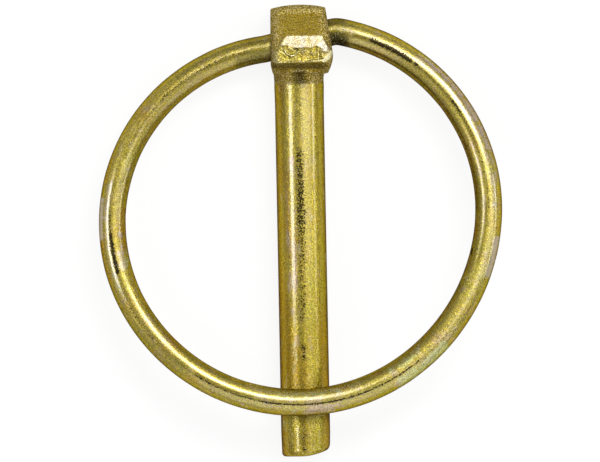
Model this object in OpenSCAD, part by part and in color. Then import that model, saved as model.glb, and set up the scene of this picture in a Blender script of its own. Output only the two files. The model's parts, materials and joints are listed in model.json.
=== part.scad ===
// Lynch pin: a forged pin with a sprung wire ring that swings through its head
// and snaps down across the front of the shank.
//
// The shank lies along Y with its cropped tip towards -Y. The origin is on its
// axis, where the parallel shank begins below the neck. +Z is the front, the
// side on which the closed ring crosses the shank. Sizes are in millimetres.

/* [Shank] */
// Diameter of the parallel shank
shank_d = 6.35; // [6.2:0.05:6.5]
// Length of the parallel shank, from the neck to the lead-in
parallel_len = 35; // [33:0.5:35]
// Length of the lead-in, from the parallel shank to the cropped tip
lead_len = 9.6; // [9:0.1:11]
// Diameter of the lead-in just before the tip
lead_d = 6.33; // [6.2:0.01:6.34]
// Diameter at the tip, before its edge is rounded
tip_d = 6.18; // [5.6:0.02:6.18]
// Length over which the lead-in narrows to the tip
tip_len = 2.4; // [1:0.1:4]
// Radius of the rounded edge of the tip
tip_round = 0.45; // [0.2:0.05:0.8]
// Angle of the oblique face that cropping left on the tip
crop_angle = 29; // [5:1:35]
// Distance from the shank's axis at which the oblique face begins
crop_start = 1.4; // [0:0.1:2]

/* [Neck] */
// Length of the neck between the head and the parallel shank
neck_len = 5; // [4:0.1:6]
// Diameter of the neck below the head, where the dies swell it
neck_d = 6.66; // [6.56:0.02:6.8]
// Length of the short flare from the neck into the head
flare_len = 0.4; // [0.3:0.05:0.6]

/* [Head] */
// Height of the head above the neck, to the crown of its top
head_h = 8.68; // [8.5:0.02:9.5]
// Depth of the head from its back to its flat front face
head_depth = 6.6; // [6.6:0.1:7.2]
// Distance from the shank's axis to the left cheek, at the foot of the head
left_reach = 3.68; // [3.6:0.02:4]
// Distance from the shank's axis to the right cheek, at the foot of the head
right_reach = 4.8; // [4.6:0.05:5]
// Draft of the left cheek
left_draft = 0.9; // [0:0.1:2]
// Draft of the right cheek
right_draft = 8.5; // [5:0.5:9]
// Radius of the domed top, seen from the front
dome_r = 15.5; // [12:0.5:25]
// Distance of the dome's crown to the right of the shank's axis
dome_shift = 0.2; // [0:0.1:1]
// Radius of the head's worn outer edges
edge_r = 1.05; // [0.6:0.05:1.2]
// Diameter of the conical seat under the head, where the flare ends
seat_d = 7.4; // [7.2:0.05:7.6]
// Angle of the conical seat from the shank's axis
seat_angle = 20.5; // [18:0.5:30]
// Distance of the seat's axis to the right of the shank's axis
seat_shift = 0.24; // [0.1:0.01:0.3]

/* [Nose] */
// Height of the nose's upper edge above the foot of the head
nose_top = 4.66; // [4.2:0.1:5]
// Height at which the smooth facet gives way to the sheared face
nose_break = 3.05; // [2.6:0.05:3.4]
// Height of the flash lip at the bottom of the sheared face
nose_lip = 1.25; // [1.1:0.05:1.8]
// Height at which the underside of the nose meets the head
nose_foot = 0.35; // [0.1:0.05:0.6]
// Projection of the nose in front of the head, at the foot of its facet
nose_out = 0.5; // [0.4:0.05:1.2]
// Projection of the flash lip beyond the foot of the facet
lip_out = 0.2; // [0.1:0.05:0.5]
// Width of the nose at its upper edge
nose_top_w = 4.75; // [4:0.05:5.2]
// Width of the nose at the foot of its slanting sides
nose_w = 7.7; // [7:0.05:7.8]
// Angle of the nose's slanting sides from the shank's axis
nose_spread = 35; // [30:1:45]
// Width over which each side of the nose falls back to the head
nose_bevel = 0.7; // [0.3:0.05:0.9]
// Distance of the nose's middle to the right of the shank's axis
nose_shift = 0.56; // [0.4:0.02:0.6]

/* [Ring] */
// Diameter of the ring's wire
wire_d = 3.5; // [3.3:0.05:3.5]
// Height of the pivot bore above the origin, where it crosses the shank's axis
pivot_h = 9.05; // [8.9:0.05:9.2]
// Slant of the bore, from its low left mouth to its high right mouth
bore_slant = 13; // [12:0.25:14]
// Radial clearance of the wire in the bore
bore_clearance = 0.07; // [0.03:0.01:0.1]
// Gap between the ring's two ends inside the head
end_gap = 1.2; // [0.6:0.1:2]
// Distance along the bore from the shank's axis to the right-hand bend
right_straight = 4.5; // [4.45:0.01:4.6]
// Distance along the bore from the shank's axis to the left-hand bend
left_straight = 4.3; // [4.25:0.01:4.4]
// Angle of the right-hand bend, beside the head
right_bend = 24.5; // [24:0.1:25]
// Angle of the left-hand bend, beside the head
left_bend = 5.8; // [5.6:0.1:6.1]
// Centreline radius of the right-hand bend
right_bend_r = 2.4; // [2.2:0.05:2.6]
// Centreline radius of the left-hand bend
left_bend_r = 4; // [3.5:0.1:4.5]
// Centreline radius of the ring's upper right arc
upper_right_r = 23.44; // [23.34:0.02:23.54]
// Sweep of the upper right arc
upper_right_sweep = 85; // [84:0.25:86]
// Centreline radius of the ring's lower right arc
lower_right_r = 25.44; // [25.34:0.02:25.54]
// Centreline radius of the arc across the shank
bottom_r = 24.12; // [24.02:0.02:24.22]
// Centreline radius of the ring's left arc
left_r = 22.65; // [22.6:0.01:22.7]
// Gap left between the closed ring and the shank
closed_gap = 0.05; // [0.03:0.01:0.1]

/* [Finish] */
// Colour of the yellow-passivated zinc on the pin
pin_colour = "darkgoldenrod"; // [darkgoldenrod, goldenrod, darkkhaki]
// Colour of the yellow-passivated zinc on the ring
ring_colour = "goldenrod"; // [goldenrod, darkgoldenrod, khaki]

/* [Hidden] */
$fn = 96;
FINE = 720;
BIG = 40;
// The rounded rim of the top stands this far proud of the flat faces.
rim_over = 0.04;
// The foot of the flare is this much thinner than what the neck can hold.
seat_inset = 0.1;
// Where two stretches of wire join, one runs this far into the other, and is
// this much thinner.
seat_len = 0.05;
seat_step = 0.02;

shank_r = shank_d / 2;
lead_r = lead_d / 2;
tip_r = tip_d / 2;
wire_r = wire_d / 2;
bore_d = wire_d + 2 * bore_clearance;
tip_y = -parallel_len - lead_len;
front_z = head_depth / 2;
top_y = neck_len + head_h;
// The shank's cylinder runs on through the neck to this height in the head.
core_y = neck_len + flare_len;
dome_y = top_y - dome_r;

// The neck's swell is a concave arc that leaves the shank without a step.
swell = (neck_d - shank_d) / 2;
swell_r = (neck_len * neck_len + swell * swell) / (2 * swell);

// Points on the ring are given by a bearing: 0 is up, and it grows clockwise.
function heading(bearing) = [sin(bearing), cos(bearing)];
function bearing_of(v) = (atan2(v[0], v[1]) + 360) % 360;

// Centre of the second of two circles that touch where both face the bearing.
function next_centre(centre, r, next_r, bearing) =
    centre + (r - next_r) * heading(bearing);

// In the plane of the ring, X runs along the bore and the ring hangs to -Y.
right_bend_c = [right_straight, -right_bend_r];
left_bend_c = [-left_straight, left_bend_r];
upper_right_c = next_centre(right_bend_c, right_bend_r, upper_right_r, right_bend);
lower_right_from = right_bend + upper_right_sweep;
lower_right_c = next_centre(upper_right_c, upper_right_r, lower_right_r, lower_right_from);
left_c = left_bend_c - (left_bend_r + left_r) * heading(left_bend);

// The bottom arc touches the lower right arc and the left arc, so its centre
// lies where two circles about their centres cross.
span = norm(left_c - lower_right_c);
to_left = (left_c - lower_right_c) / span;
across = [-to_left[1], to_left[0]];
inset_right = lower_right_r - bottom_r;
inset_left = bottom_r - left_r;
along = (inset_right ^ 2 - inset_left ^ 2 + span ^ 2) / (2 * span);
aside = sqrt(inset_right ^ 2 - along ^ 2);
bottom_c = lower_right_c + along * to_left + aside * across;
bottom_from = bearing_of(bottom_c - lower_right_c);
bottom_to = bearing_of(left_c - bottom_c);

// The closed ring leans forward until its wire rests on the shank: the reach
// is the distance from the bore to the wire that crosses the shank.
cross_dir = -heading(bore_slant);
cross_along = cross_dir * bottom_c;
cross_aside = norm(bottom_c - cross_along * cross_dir);
cross_reach = (cross_along + sqrt(bottom_r ^ 2 - cross_aside ^ 2)) * cos(bore_slant);
lean = asin((shank_r + wire_r + closed_gap) / cross_reach);

// Turns what is drawn upwards along Z to lie along Y.
module along_y() {
    rotate([-90, 0, 0])
        children();
}

// Places what is drawn about the bore: X runs through it, from left to right.
module at_pivot() {
    translate([0, pivot_h, 0])
        rotate([0, 0, bore_slant])
            children();
}

// Half of the outline of the shank, lead-in and rounded tip, turned about Y.
module shank_profile() {
    polygon([
        [0, -tip_y], [0, -core_y], [shank_r, -core_y],
        [shank_r, parallel_len], [lead_r, -tip_y - tip_len], [tip_r, -tip_y - tip_round],
        [tip_r - tip_round, -tip_y - tip_round], [tip_r - tip_round, -tip_y]
    ]);
    translate([tip_r - tip_round, -tip_y - tip_round])
        intersection() {
            circle(r = tip_round);
            square(tip_round);
        }
}

// The shank, with the oblique face that the cropping blade left on its tip.
module shank() {
    difference() {
        rotate([90, 0, 0])
            rotate_extrude()
                shank_profile();
        translate([crop_start, tip_y, 0])
            rotate([0, 0, crop_angle])
                translate([0, -BIG, -BIG / 2])
                    cube([BIG, BIG, BIG]);
    }
}

// The neck, which swells from the shank's diameter towards the head.
module neck() {
    along_y()
        rotate_extrude()
            difference() {
                square([neck_d / 2, neck_len]);
                translate([shank_r + swell_r, 0])
                    circle(r = swell_r, $fn = FINE);
            }
}

// Outline of a bar seen from its end, with its two left edges rounded.
module cheek_outline() {
    for (side = [-1, 1])
        translate([edge_r, side * (front_z - edge_r)])
            circle(r = edge_r);
    translate([0, -front_z + edge_r])
        square([BIG, head_depth - 2 * edge_r]);
    translate([edge_r, -front_z])
        square([BIG - edge_r, head_depth]);
}

// A bar whose rounded cheek passes the foot of the head at the given reach and
// leans inwards above it. Everything behind the cheek is filled.
module cheek(reach, draft) {
    translate([-reach, neck_len, 0])
        rotate([0, 0, -draft])
            translate([0, BIG / 2, 0])
                rotate([90, 0, 0])
                    linear_extrude(BIG)
                        cheek_outline();
}

// A disc with a rounded rim: its upper edge is the domed top of the head.
module dome() {
    rim_z = front_z + rim_over;
    translate([dome_shift, dome_y, 0])
        rotate_extrude() {
            translate([0, -rim_z])
                square([dome_r - edge_r, 2 * rim_z]);
            translate([0, -rim_z + edge_r])
                square([dome_r, 2 * (rim_z - edge_r)]);
            for (side = [-1, 1])
                translate([dome_r - edge_r, side * (rim_z - edge_r)])
                    circle(r = edge_r);
        }
}

// Everything above the seat on which the head was formed: a short flare that
// starts inside the neck, and then a cone that opens past the cheeks.
module above_seat() {
    seat_h = head_h + flare_len;
    translate([seat_shift, neck_len - flare_len, 0])
        along_y() {
            cylinder(h = flare_len, d1 = neck_d - 2 * seat_shift - seat_inset, d2 = seat_d);
            translate([0, 0, flare_len])
                cylinder(h = seat_h, d1 = seat_d, d2 = seat_d + 2 * seat_h * tan(seat_angle));
        }
}

// The upset block of the head: cheeks, domed top and conical seat.
module head_block() {
    intersection() {
        cheek(left_reach, left_draft);
        mirror([1, 0, 0])
            cheek(right_reach, right_draft);
        dome();
        above_seat();
    }
}

// The nose from the front: its sides spread, and then drop to the seat.
module nose_front() {
    half_top = nose_top_w / 2;
    half_w = nose_w / 2;
    spread = tan(nose_spread);
    spread_y = nose_top - (half_w - half_top) / spread;
    polygon([
        [-half_top, nose_top], [half_top, nose_top], [half_w, spread_y],
        [half_w, nose_lip], [half_w - nose_lip * spread, 0],
        [-half_w + nose_lip * spread / 2, 0], [-half_w, nose_lip / 2],
        [-half_w, spread_y]
    ]);
}

// The nose from the side, its height to the right and its front upwards:
// smooth facet, sheared face, flash lip and underside.
module nose_side() {
    polygon([
        [nose_foot, 0], [nose_top, 0], [nose_top, front_z],
        [nose_break, front_z + nose_out], [nose_lip, front_z + nose_out + lip_out],
        [nose_foot, front_z]
    ]);
}

// The nose from above, its front upwards: both sides fall back to the head.
module nose_plan() {
    half_w = nose_w / 2;
    proud = nose_out + lip_out;
    polygon([
        [-half_w, 0], [half_w, 0], [half_w, front_z],
        [half_w - 2 * nose_bevel, front_z + 2 * proud],
        [-half_w + 2 * nose_bevel, front_z + 2 * proud], [-half_w, front_z]
    ]);
}

// The nose of metal that the dies squeezed out of the foot of the head.
module nose() {
    translate([0, neck_len, 0])
        intersection() {
            translate([nose_shift, 0, 0])
                linear_extrude(BIG)
                    nose_front();
            translate([-BIG / 2, 0, 0])
                rotate([90, 0, 90])
                    linear_extrude(BIG)
                        nose_side();
            translate([nose_shift, BIG / 2, 0])
                rotate([90, 0, 0])
                    linear_extrude(BIG)
                        nose_plan();
        }
}

// The forged pin: shank, neck, head and nose in one piece, bored for the ring.
module pin_body() {
    color(pin_colour)
        difference() {
            union() {
                shank();
                neck();
                head_block();
                nose();
            }
            at_pivot()
                rotate([0, 90, 0])
                    cylinder(d = bore_d, h = BIG, center = true);
        }
}

// A stretch of wire bent about a centre, from one bearing to the next. A
// seated stretch is a hair thinner and runs a little way into both neighbours.
module wire_arc(centre, r, from, to, seated = false) {
    more = seated ? seat_len / r * 180 / PI : 0;
    translate([centre[0], centre[1], 0])
        rotate([0, 0, 90 - to - more])
            rotate_extrude(angle = to - from + 2 * more)
                translate([r, 0])
                    circle(d = seated ? wire_d - seat_step : wire_d);
}

// A straight stretch of wire along the bore.
module wire_end(from, to, seated = false) {
    more = seated ? seat_len : 0;
    translate([from - more, 0, 0])
        rotate([0, 90, 0])
            cylinder(d = seated ? wire_d - seat_step : wire_d, h = to - from + more);
}

// The sprung ring, closed: two straight ends in the bore, a bend beside each
// cheek, and four arcs that run into one another.
module snap_ring() {
    color(ring_colour)
        at_pivot()
            rotate([-lean, 0, 0]) {
                wire_end(end_gap / 2, right_straight);
                wire_arc(right_bend_c, right_bend_r, 0, right_bend, seated = true);
                wire_arc(upper_right_c, upper_right_r, right_bend, lower_right_from);
                wire_arc(lower_right_c, lower_right_r, lower_right_from, bottom_from, seated = true);
                wire_arc(bottom_c, bottom_r, bottom_from, bottom_to);
                wire_arc(left_c, left_r, bottom_to, 360 + left_bend, seated = true);
                wire_arc(left_bend_c, left_bend_r, 180, 180 + left_bend);
                wire_end(-left_straight, -end_gap / 2, seated = true);
            }
}

pin_body();
snap_ring();
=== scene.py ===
import itertools
import json
import math

import bpy
import numpy as np
from mathutils import Matrix, Vector

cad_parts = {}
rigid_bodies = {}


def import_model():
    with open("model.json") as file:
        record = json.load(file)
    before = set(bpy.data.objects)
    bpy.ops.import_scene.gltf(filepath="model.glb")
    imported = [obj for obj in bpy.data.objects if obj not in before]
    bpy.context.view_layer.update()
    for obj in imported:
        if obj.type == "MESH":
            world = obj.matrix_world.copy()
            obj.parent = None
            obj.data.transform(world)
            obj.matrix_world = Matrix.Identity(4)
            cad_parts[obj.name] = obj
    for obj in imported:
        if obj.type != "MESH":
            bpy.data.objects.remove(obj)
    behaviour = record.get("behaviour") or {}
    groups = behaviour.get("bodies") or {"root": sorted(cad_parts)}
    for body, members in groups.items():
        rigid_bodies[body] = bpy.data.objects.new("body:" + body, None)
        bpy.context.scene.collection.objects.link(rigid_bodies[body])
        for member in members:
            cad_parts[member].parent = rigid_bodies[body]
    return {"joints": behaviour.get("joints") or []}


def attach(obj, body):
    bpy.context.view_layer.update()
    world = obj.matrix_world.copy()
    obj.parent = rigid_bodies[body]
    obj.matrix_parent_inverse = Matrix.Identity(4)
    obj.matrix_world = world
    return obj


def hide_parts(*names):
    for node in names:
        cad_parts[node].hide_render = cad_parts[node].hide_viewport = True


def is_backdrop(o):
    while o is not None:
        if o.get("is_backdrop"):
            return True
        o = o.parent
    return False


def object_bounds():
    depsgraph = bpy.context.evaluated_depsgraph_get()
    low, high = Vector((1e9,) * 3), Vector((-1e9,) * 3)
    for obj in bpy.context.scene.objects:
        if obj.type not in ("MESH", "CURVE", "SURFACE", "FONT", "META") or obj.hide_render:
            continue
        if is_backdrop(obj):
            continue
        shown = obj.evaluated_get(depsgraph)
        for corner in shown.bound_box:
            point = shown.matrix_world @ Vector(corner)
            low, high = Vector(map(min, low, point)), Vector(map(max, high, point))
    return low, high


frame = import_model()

bl_info = {
    "name": "Lynch Pin",
    "version": (1, 0, 0),
    "blender": (4, 5, 0),
    "location": "View3D > Sidebar > Lynch Pin",
    "description": "Builds a forged lynch pin with its sprung wire ring, and a stage to show it on",
    "category": "Add Mesh",
}

MM = 0.001
TAU = 2 * math.pi
PIN_NODE = "pin_body"
RING_NODE = "snap_ring"
HINGE = frame["joints"][0]
HINGE_POINT = np.array(HINGE["pos_m"])
BORE_AXIS = -np.array(HINGE["axis"], float)
CAD_LOW, CAD_HIGH = (np.array(corner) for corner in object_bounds())


# ---------------------------------------------------------------- properties

def length(name, description, default):
    """A length in millimetres, kept in metres."""
    return bpy.props.FloatProperty(
        name=name, description=description, default=default * MM, unit="LENGTH", precision=5
    )


def angle(name, description, default):
    """An angle in degrees, kept in radians."""
    return bpy.props.FloatProperty(
        name=name, description=description, default=math.radians(default), subtype="ANGLE"
    )


def colour(name, description, default):
    """A linear colour."""
    return bpy.props.FloatVectorProperty(
        name=name, description=description, default=default, subtype="COLOR", min=0, max=1
    )


def factor(name, description, default, top=1.0):
    """A plain number without a unit."""
    return bpy.props.FloatProperty(
        name=name, description=description, default=default, min=0, soft_max=top
    )


class PinSizes(bpy.types.PropertyGroup):
    """Sizes of the forged pin. The origin is on its axis, where the shank ends and the neck begins."""

    shank_d: length("Shank diameter", "Diameter of the parallel shank", 6.35)
    tip_y: length("Tip", "Distance from the origin to the end of the tip", 44.6)
    tip_d: length("Tip diameter", "Diameter just before the rounded end", 6.2)
    tip_len: length("Tip taper", "Length over which the tip narrows", 3.6)
    tip_round: length("Tip rounding", "Radius of the rounded end", 0.5)
    crop_angle: angle("Crop angle", "Slope of the oblique face on the tip", 29)
    crop_start: length("Crop start", "Where the oblique face begins, from the axis", 1.4)
    neck_len: length("Neck length", "From the parallel shank to the foot of the head", 5)
    neck_d: length("Neck diameter", "Diameter of the neck below the head", 6.59)
    head_h: length("Head height", "From the foot of the head to its crown", 8.68)
    head_depth: length("Head depth", "From the back of the head to its flat face", 6.6)
    left_reach: length("Left reach", "From the axis to the left cheek, at the foot", 3.68)
    right_reach: length("Right reach", "From the axis to the right cheek, at the foot", 4.84)
    left_draft: angle("Left draft", "Lean of the left cheek", 0.9)
    right_draft: angle("Right draft", "Lean of the right cheek", 8.5)
    dome_r: length("Dome radius", "Radius of the domed top, seen from the front", 15.5)
    dome_shift: length("Dome shift", "Distance of the crown to the right of the axis", 0.2)
    edge_r: length("Worn edges", "Radius of the head's long worn edges", 1.15)
    seat_d: length("Seat diameter", "Diameter of the conical seat at its foot", 7.4)
    seat_angle: angle("Seat angle", "Slope of the conical seat from the axis", 20.5)
    seat_shift: length("Seat shift", "Distance of the seat to the right of the axis", 0.24)
    nose_top: length("Nose top", "Height of the nose's upper edge above the foot", 4.72)
    nose_lip: length("Nose lip", "Height of the flash lip above the foot", 1.22)
    nose_foot: length("Nose foot", "Height where the underside meets the head", 0.35)
    nose_out: length("Nose projection", "How far the foot of the facet stands out", 0.5)
    lip_out: length("Lip projection", "How far the lip stands out beyond the facet", 0.2)
    nose_bevel: length("Nose bevel", "Width over which the nose's sides fall back", 0.7)
    torn_step: length("Torn step", "Step from the facet down to the torn metal", 0.1)
    torn_depth: length("Torn depth", "Depth of the deepest folds in the torn metal", 0.16)


class RingSizes(bpy.types.PropertyGroup):
    """Sizes of the wire ring, in the plane that runs through its bore."""

    wire_d: length("Wire diameter", "Diameter of the wire", 3.49)
    bore_clearance: length("Bore clearance", "Radial clearance of the wire in the bore", 0.07)
    mouth_flare: length("Mouth flare", "How much the bore's worn mouths widen", 0.14)
    end_gap: length("End gap", "Gap between the two ends inside the head", 1.2)
    right_straight: length("Right straight", "From the axis to the right-hand bend", 4.5)
    left_straight: length("Left straight", "From the axis to the left-hand bend", 4.3)
    right_bend: angle("Right bend", "Angle of the bend beside the right cheek", 24.5)
    left_bend: angle("Left bend", "Angle of the bend beside the left cheek", 5.8)
    right_bend_r: length("Right bend radius", "Centreline radius of the right bend", 2.4)
    left_bend_r: length("Left bend radius", "Centreline radius of the left bend", 4)
    upper_right_r: length("Upper right radius", "Radius of the upper right arc", 23.44)
    upper_right_sweep: angle("Upper right sweep", "Sweep of the upper right arc", 85)
    lower_right_r: length("Lower right radius", "Radius of the lower right arc", 25.44)
    bottom_r: length("Bottom radius", "Radius of the arc across the shank", 24.12)
    left_r: length("Left radius", "Radius of the left arc", 22.65)
    closed_gap: length("Closed gap", "Gap between the closed ring and the shank", 0.05)
    end_round: length("End rounding", "Rounding of the cut ends", 0.3)
    dent: length("Dents", "Depth of the shallow dents along the wire", 0.025)


class Finish(bpy.types.PropertyGroup):
    """Colours of the yellow-passivated zinc."""

    olive: colour("Olive", "Greenish parts of the passivated film", (0.42, 0.345, 0.018))
    brass: colour("Brass", "Yellow parts of the passivated film", (0.46, 0.36, 0.026))
    amber: colour("Amber", "Brownish parts of the passivated film", (0.46, 0.30, 0.014))
    rose: colour("Rose", "Pinkish interference tint of the thin film", (0.50, 0.36, 0.24))
    leaf: colour("Leaf", "Pale green interference tint of the thin film", (0.54, 0.57, 0.2))
    forged: colour("Forged", "Brownish film on the forging's rough skin", (0.225, 0.150, 0.014))
    frost: colour("Frost", "Pale dots on the forging's worn borders", (0.60, 0.49, 0.21))
    # The bright colour also paints highlights on the pin and on the torn ridges; bare is also laid
    # along the ring's highlights, partly as a painted highlight; dark also paints the dark reflection
    # down the middle of the shank.
    bright: colour("Bright", "Freshly torn and rubbed metal", (0.84, 0.77, 0.45))
    bare: colour("Bare", "Grey zinc where the film is rubbed off", (0.52, 0.44, 0.33))
    dark: colour("Dark", "Dark scratches and pits", (0.025, 0.018, 0.01))
    edge: colour("Edge", "Tint of the reflection at grazing angles", (0.1, 0.08, 0.03))
    metallic: factor("Metallic", "How metallic the plated surface is", 0.94)
    matt_roughness: factor("Matt roughness", "Roughness added on the forging's skin", 0.3)
    lines: factor("Drawing lines", "Contrast of the fine lines along the metal", 0.5, 3.0)


class ShankGloss(bpy.types.PropertyGroup):
    """Gloss of the turned shank, and of the pin as a whole where it isn't matt."""

    roughness: factor("Roughness", "Base roughness", 0.29)
    coat: factor("Coat", "Gloss of the clear passivated film", 0.8)
    coat_roughness: factor("Coat roughness", "Roughness of the clear film", 0.13)
    peel: length("Peel", "Depth of the fine uneven surface", 0.06)
    speckle: factor("Speckle", "Contrast of the fine speckle", 0.85, 3.0)


class WireGloss(bpy.types.PropertyGroup):
    """Gloss of the drawn wire."""

    roughness: factor("Roughness", "Base roughness", 0.38)
    coat: factor("Coat", "Gloss of the clear passivated film", 1.0)
    coat_roughness: factor("Coat roughness", "Roughness of the clear film", 0.17)
    peel: length("Peel", "Depth of the fine uneven surface", 0.035)
    speckle: factor("Speckle", "Contrast of the fine speckle", 1.0, 3.0)


class Stage(bpy.types.PropertyGroup):
    """Camera, floor and lights."""

    view_centre: bpy.props.FloatVectorProperty(
        name="View centre", description="Point under the middle of the picture",
        default=(-0.237 * MM, -15.52 * MM, 0), unit="LENGTH", size=3,
    )
    view_width: length("View width", "Width that the picture covers", 77.44)
    view_turn: angle("View turn", "Turn of the camera about its line of sight", 1.107)
    lens: factor("Lens", "Focal length in millimetres", 900, 2000)
    light_distance: length("Light distance", "From the lights to the point they face", 800)
    light_aim: length("Light aim", "From the origin to the point the lights face", 15)
    room_colour: colour("Room colour", "Even light from all round", (0.3, 0.3, 0.3))
    floor_size: length("Floor size", "Side of the square floor", 6000)
    floor_colour: colour("Floor colour", "Colour of the floor", (0.13, 0.13, 0.13))
    floor_lift: factor(
        "Floor lift", "Brightness added to what is seen of the floor directly", 0.87
    )


# -------------------------------------------------------------- mesh helpers

def value_noise(points, cell, seed):
    """Noise between -1 and 1: random values on a cubic lattice of the given cell, blended between
    the eight corners with smoothstep weights."""
    table = np.random.default_rng(seed).uniform(-1, 1, (32, 32, 32))
    place = points / cell
    low = np.floor(place).astype(int)
    part = place - low
    part = part * part * (3 - 2 * part)
    total = 0
    for corner in itertools.product((0, 1), repeat=3):
        weight = np.prod(np.where(corner, part, 1 - part), axis=-1)
        index = (low + corner) % 32
        total = total + weight * table[index[..., 0], index[..., 1], index[..., 2]]
    return total


def both(a, b, radius):
    """Distance to what two solids share, with their common edge rounded to the radius: outside the
    rounding it is the larger distance, and inside it is the distance to a circle's arc."""
    inner = np.minimum(np.maximum(a, b), -radius)
    return inner + np.hypot(np.maximum(a + radius, 0), np.maximum(b + radius, 0))


def either(a, b, radius):
    """Distance to two solids joined by a fillet of the radius."""
    return -both(-a, -b, radius)


def smooth(low, high, x):
    """0 below low, 1 above high, and a smooth step between."""
    t = np.clip((x - low) / (high - low), 0, 1)
    return t * t * (3 - 2 * t)


def turns_round(columns, crowding):
    """Turns of a piece's columns, counted from its back: even turns, and the crowding times their
    sines, so that the columns stand closer together at the front."""
    turn = np.linspace(0, TAU, columns, endpoint=False)
    return turn + crowding * np.sin(turn)


def tube_mesh(name, rows, start, end, uv_rows, uv_wrap):
    """A closed mesh from a grid of rows that wrap round, with a pole at each end. The UV map
    holds the length along the tube and the way round it."""
    n, m = rows.shape[:2]
    points = np.concatenate([rows.reshape(-1, 3), [start, end]])
    i, j = np.meshgrid(np.arange(n - 1), np.arange(m), indexing="ij")
    k = (j + 1) % m
    quads = np.stack([i * m + j, i * m + k, (i + 1) * m + k, (i + 1) * m + j], -1).reshape(-1, 4)
    ring = np.arange(m)
    following = (ring + 1) % m
    cap_start = np.stack([np.full(m, n * m), following, ring], -1)
    last = (n - 1) * m
    cap_end = np.stack([np.full(m, n * m + 1), last + ring, last + following], -1)
    mesh = bpy.data.meshes.new(name)
    mesh.from_pydata(points, [], [*quads.tolist(), *cap_start.tolist(), *cap_end.tolist()])
    turns = np.stack([j, j + 1, j + 1, j], -1).reshape(-1) / m
    along = np.stack([i, i, i + 1, i + 1], -1).reshape(-1)
    quad_uv = np.stack([uv_rows[along], turns * uv_wrap], -1)
    mid = (ring + 0.5) / m
    fan = np.stack([mid, (ring + 1) / m, ring / m], -1).reshape(-1) * uv_wrap
    back = np.stack([mid, ring / m, (ring + 1) / m], -1).reshape(-1) * uv_wrap
    uv = np.concatenate([
        quad_uv,
        np.stack([np.full(3 * m, uv_rows[0]), fan], -1),
        np.stack([np.full(3 * m, uv_rows[-1]), back], -1),
    ])
    mesh.uv_layers.new(name="surface").data.foreach_set("uv", uv.astype(np.float32).ravel())
    mesh.shade_smooth()
    mesh.update()
    return mesh


def check_skin(mesh):
    """Raises an error unless every edge has exactly two faces and the mesh stays in the CAD box."""
    edges = np.empty(len(mesh.loops), np.int32)
    mesh.loops.foreach_get("edge_index", edges)
    places = vertex_places(mesh)
    if not len(edges) or (np.bincount(edges, minlength=len(mesh.edges)) != 2).any():
        raise RuntimeError(f"{mesh.name} is not closed")
    over = max((CAD_LOW - places.min(0)).max(), (places.max(0) - CAD_HIGH).max())
    if over > 0.001 * MM:
        raise RuntimeError(f"{mesh.name} reaches {over / MM:.3f} mm outside the CAD model's box")


def placed(name, data):
    """A new object in the scene."""
    item = bpy.data.objects.new(name, data)
    bpy.context.scene.collection.objects.link(item)
    return item


def add_piece(mesh, body, node, material):
    """Puts a finished mesh in the scene in place of its CAD node."""
    check_skin(mesh)
    piece = placed(mesh.name, mesh)
    mesh.materials.clear()
    mesh.materials.append(material)
    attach(piece, body)
    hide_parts(node)
    return piece


# ----------------------------------------------------------------- the pin

# Radii of the pin's small edges and fillets, and how much larger the radius of the
# nose's right shoulder grows below its facet.
CROP_ROUND = 0.9 * MM
CORNER_ROUND = 0.2 * MM
SEAT_ROUND = 0.4 * MM
UNDER_ROUND = 0.25 * MM
LIP_ROUND = 0.1 * MM
LEFT_ROUND = 0.15 * MM
RIGHT_ROUND = 0.12 * MM
RIGHT_WEAR = 0.45 * MM
FOOT_FILLET = 0.12 * MM
NOSE_FILLET = 0.1 * MM
# How far the shank runs up into the head, how far the head's underside lies below its
# foot, how high above the foot the torn metal's edge lies on average, and how far in
# front of the axis the nose begins.
SHANK_ROOT = 1 * MM
UNDER_DROP = 0.3 * MM
TORN_HEIGHT = 3.05 * MM
NOSE_ROOT = 1.5 * MM
# Cosine of the slope of the nose's underside.
UNDER_COSINE = 0.78
# Rows of the pin's mesh, its columns, and how much closer they stand at the front.
TIP_ROWS, SHANK_ROWS, HEAD_ROWS, TOP_ROWS = 34, 100, 130, 66
PIN_COLUMNS, PIN_CROWDING = 256, 0.4
# How deep inside the tip and the top the rays fan out, where the head's rows begin, how
# far a point may lie along its ray, and how often that range is halved.
TIP_FAN = 1.5 * MM
TOP_FAN = 4 * MM
HEAD_FROM = 1 * MM
RAY_REACH = 12 * MM
HALVINGS = 34
# Half the length of the tube that cuts the bore, and its rows and columns.
CUTTER_REACH = 9 * MM
CUTTER_ROWS, CUTTER_COLUMNS = 91, 96


def shank_distance(p, s):
    """Distance to the turned part: a cylinder that narrows at the tip and swells in the neck, cut
    by the flat end and by the oblique face that cropping left."""
    x, y, z = np.moveaxis(p, -1, 0)
    taper = smooth(s.tip_y - s.tip_len, s.tip_y, -y) * (s.shank_d - s.tip_d) / 2
    swell = (np.clip(y / s.neck_len, 0, 1) ** 2) * (s.neck_d - s.shank_d) / 2
    side = np.hypot(x, z) - s.shank_d / 2 + taper - swell
    end = -y - s.tip_y
    oblique = (x - s.crop_start) * math.sin(s.crop_angle) - (y + s.tip_y) * math.cos(s.crop_angle)
    tip = both(end, oblique, CROP_ROUND)
    return np.maximum(both(side, tip, s.tip_round), y - s.neck_len - SHANK_ROOT)


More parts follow.
